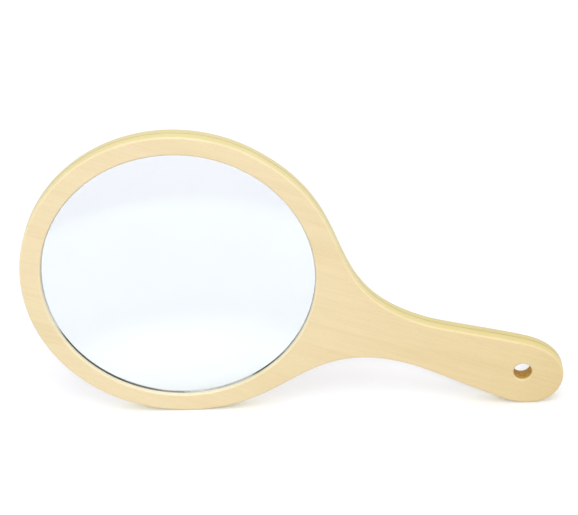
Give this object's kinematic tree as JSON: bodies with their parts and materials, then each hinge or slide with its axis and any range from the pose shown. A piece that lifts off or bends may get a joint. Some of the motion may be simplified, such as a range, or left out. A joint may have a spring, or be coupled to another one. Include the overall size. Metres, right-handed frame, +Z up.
{
  "type": "hand mirror",
  "caption": "Round hand mirror of pale wood: a glass disc set into a flat round head, and a flat waisted handle with a hanging hole.",
  "frame": {"origin": "middle of the footprint, at the floor that the mirror stands on edge upon", "axes": "+Z up; the glass faces -Y; the handle points towards +X and slopes down to the floor"},
  "size_m": [0.2984, 0.0102, 0.1721],
  "materials": {
    "wood": "clear satin lacquer on pale birch or basswood",
    "glue": "dried wood glue",
    "glass": "clear float glass with ground edges",
    "silver": "silvered",
    "paint": "dark protective paint",
    "tape": "solid white double-sided mounting tape"
  },
  "bodies": {
    "root": {"front_board": "wood", "back_board": "wood", "glue_line": "glue", "mirror_glass": "glass", "silver_coating": "silver", "backing_paint": "paint", "mounting_tape_right": "tape", "mounting_tape_top": "tape", "mounting_tape_left": "tape", "mounting_tape_bottom": "tape"}
  },
  "joints": []
}
